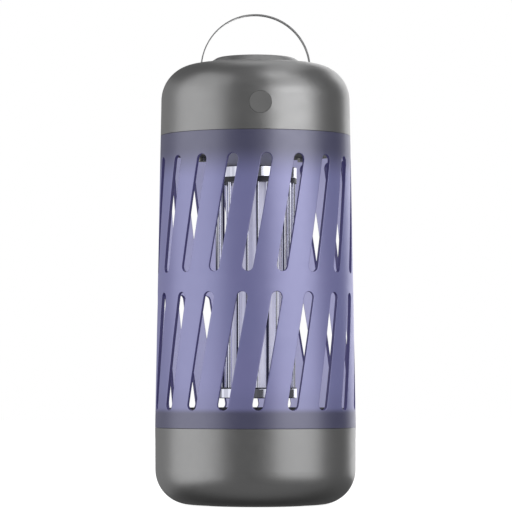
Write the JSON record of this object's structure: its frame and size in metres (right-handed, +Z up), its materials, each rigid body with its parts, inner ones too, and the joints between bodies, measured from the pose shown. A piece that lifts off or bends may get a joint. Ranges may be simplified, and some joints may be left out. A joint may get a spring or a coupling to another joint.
{
  "type": "electric bug zapper",
  "caption": "Lantern-shaped electric insect killer: slotted violet grille round a charged rod grid and lamp, domed cap with button and bail, twist-off base.",
  "frame": {"origin": "centre of the foot, on the surface the zapper stands on", "axes": "+Z up along the body's axis, -Y towards the power button, +Y towards the charging port, +X along the bail's pivot axis"},
  "size_m": [0.09, 0.09, 0.2206],
  "materials": {
    "satin_grey": "satin metallic grey moulding",
    "violet_grille": "frosted violet moulding",
    "bail_steel": "brushed strip",
    "grid_steel": "polished",
    "black_plastic": "black moulding",
    "boss_grey": "grey moulding",
    "button_grey": "flat grey",
    "soft_rubber": "matt",
    "frosted_tube": "frosted tube",
    "circuit_board": "green solder resist",
    "led_package": "white package",
    "contact_brass": "drawn",
    "zinc_screw": "zinc plated",
    "ferrite_core": "dark core with wound coil",
    "film_capacitor": "dipped",
    "cell_wrap": "shrink wrap",
    "nickel_tab": "nickel strip",
    "port_metal": "stamped shell"
  },
  "bodies": {
    "root": {"top_cap": "satin_grey", "outer_grille": "violet_grille", "grid_rod_01": "grid_steel", "grid_rod_02": "grid_steel", "grid_rod_03": "grid_steel", "grid_rod_04": "grid_steel", "grid_rod_05": "grid_steel", "grid_rod_06": "grid_steel", "grid_rod_07": "grid_steel", "grid_rod_08": "grid_steel", "grid_rod_09": "grid_steel", "grid_rod_10": "grid_steel", "grid_rod_11": "grid_steel", "grid_rod_12": "grid_steel", "grid_rod_13": "grid_steel", "grid_rod_14": "grid_steel", "grid_rod_15": "grid_steel", "grid_rod_16": "grid_steel", "grid_rod_17": "grid_steel", "grid_rod_18": "grid_steel", "grid_rod_19": "grid_steel", "grid_rod_20": "grid_steel", "grid_rod_21": "grid_steel", "grid_rod_22": "grid_steel", "grid_rod_23": "grid_steel", "grid_rod_24": "grid_steel", "upper_ring": "grid_steel", "lower_ring": "grid_steel", "upper_insulator": "black_plastic", "lower_insulator": "black_plastic", "cap_chassis": "black_plastic", "lock_ring": "black_plastic", "battery_cradle": "black_plastic", "tact_switch": "black_plastic", "grid_boss": "boss_grey", "lamp_end_cap": "boss_grey", "lamp_tube": "frosted_tube", "led_board": "circuit_board", "hv_board": "circuit_board", "control_board": "circuit_board", "charge_board": "circuit_board", "uv_leds": "led_package", "live_contact": "contact_brass", "return_lead": "contact_brass", "chassis_screws": "zinc_screw", "board_screws": "zinc_screw", "hv_transformer": "ferrite_core", "hv_capacitors": "film_capacitor", "battery_cell": "cell_wrap", "battery_tabs": "nickel_tab", "usb_socket": "port_metal"},
    "bail": {"bail_handle": "bail_steel", "bail_pins": "bail_steel"},
    "button": {"power_button": "button_grey", "switch_plunger": "black_plastic"},
    "port_flap": {"port_cover": "soft_rubber"},
    "tray": {"insect_tray": "black_plastic"},
    "base": {"base_cup": "satin_grey", "foot_pad": "soft_rubber"}
  },
  "joints": [
    {"name": "bail_fold", "type": "hinge", "parent": "root", "child": "bail", "pos_m": [0, 0, 0.1958], "axis": [1, 0, 0], "range_deg": [-90, 90]},
    {"name": "button_press", "type": "slide", "parent": "root", "child": "button", "axis": [0, 1, 0], "range_m": [0, 0.0008], "stiffness_N_per_m": 1500, "springref_m": -0.0003},
    {"name": "port_cover_open", "type": "hinge", "parent": "root", "child": "port_flap", "pos_m": [-0.00762, 0.04175, 0.1732], "axis": [0, 0, 1], "range_deg": [0, 120]},
    {"name": "tray_drop", "type": "slide", "parent": "root", "child": "tray", "axis": [0, 0, 1], "range_m": [-0.00841, 0]},
    {"name": "base_twist", "type": "hinge", "parent": "tray", "child": "base", "pos_m": [0, 0, 0], "axis": [0, 0, 1], "range_deg": [-60, 0]}
  ],
  "couplings": [
    {"joint": "tray_drop", "follows": "base_twist", "m_per_rad": 0.0080214}
  ]
}
